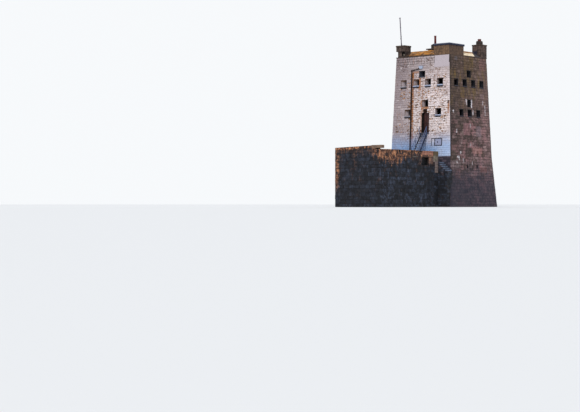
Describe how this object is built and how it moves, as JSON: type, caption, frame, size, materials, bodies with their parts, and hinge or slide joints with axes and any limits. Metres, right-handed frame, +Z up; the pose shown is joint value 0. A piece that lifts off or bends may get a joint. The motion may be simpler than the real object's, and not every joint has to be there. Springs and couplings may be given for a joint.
{
  "type": "martello tower",
  "caption": "Square martello tower with a leaning whitewashed front, corner turrets, a rooftop guardhouse, a walled gun platform and a steel stair to its raised door.",
  "frame": {"origin": "on the lowest ground, under the middle of the tower's square base", "axes": "+X to the right along the whitewashed front, -Y forward over the gun platform, +Z up"},
  "size_m": [9.4566, 20.6283, 22.478],
  "materials": {
    "granite": "squared granite rubble, weathered and stained",
    "whitewashed_stone": "flaking limewash over rubble, rust and lichen stains",
    "lichened_granite": "granite slope grown over with orange lichen",
    "turret_stone": "dark weathered granite",
    "slate_grey_stone": "smooth grey slab",
    "dark_granite": "sea-blackened granite with orange lichen",
    "olive_granite": "dressed granite block",
    "painted_sill_stone": "blue-white painted sill",
    "fired_clay": "unglazed red clay",
    "weathered_steel": "dull grey-blue paint",
    "rusty_iron": "rusted black paint",
    "painted_iron": "flaking pale blue paint",
    "dark_painted_steel": "worn dark paint",
    "red_brown_wood": "red-brown painted boards",
    "black_iron": "black painted iron",
    "blue_grey_steel": "faded blue-grey paint"
  },
  "bodies": {
    "tower": {"tower_footing": "granite", "magazine_front_wall": "whitewashed_stone", "magazine_right_wall": "granite", "magazine_back_wall": "granite", "magazine_left_wall": "granite", "entrance_floor": "granite", "entrance_wall_left_of_door": "whitewashed_stone", "entrance_wall_right_of_door": "whitewashed_stone", "entrance_wall_over_door": "whitewashed_stone", "door_jambs": "whitewashed_stone", "door_threshold": "granite", "entrance_right_wall": "granite", "entrance_back_wall": "granite", "entrance_left_wall": "granite", "upper_floor": "granite", "upper_front_wall": "whitewashed_stone", "upper_right_wall": "granite", "upper_back_wall": "granite", "upper_left_wall": "granite", "roof_deck": "granite", "front_parapet": "lichened_granite", "right_parapet": "lichened_granite", "back_parapet": "lichened_granite", "left_parapet": "lichened_granite", "flagpole_turret": "turret_stone", "chimney_turret": "turret_stone", "rear_turret": "turret_stone", "guardhouse_walls": "turret_stone", "guardhouse_roof": "slate_grey_stone", "chimney_stacks": "turret_stone", "chimney_pots": "fired_clay", "flagpole": "weathered_steel", "window_sills": "painted_sill_stone", "downpipe": "rusty_iron", "rain_hopper": "painted_iron", "service_hatch": "dark_painted_steel", "door_pintles": "black_iron", "stair_stringers": "blue_grey_steel", "stair_treads": "blue_grey_steel", "stair_handrails": "blue_grey_steel", "platform_body": "dark_granite", "platform_front_parapet": "dark_granite", "platform_left_parapet": "dark_granite", "platform_right_parapet": "dark_granite", "platform_end_pier": "olive_granite", "corner_coping_stone": "olive_granite", "entry_steps": "dark_granite"},
    "door": {"door_leaf": "red_brown_wood", "door_ironwork": "black_iron"}
  },
  "joints": [
    {"name": "door_hinge", "type": "hinge", "parent": "tower", "child": "door", "pos_m": [0.05, -3.68405, 8.65], "axis": [0, 0, 1], "range_deg": [0, 90]}
  ]
}
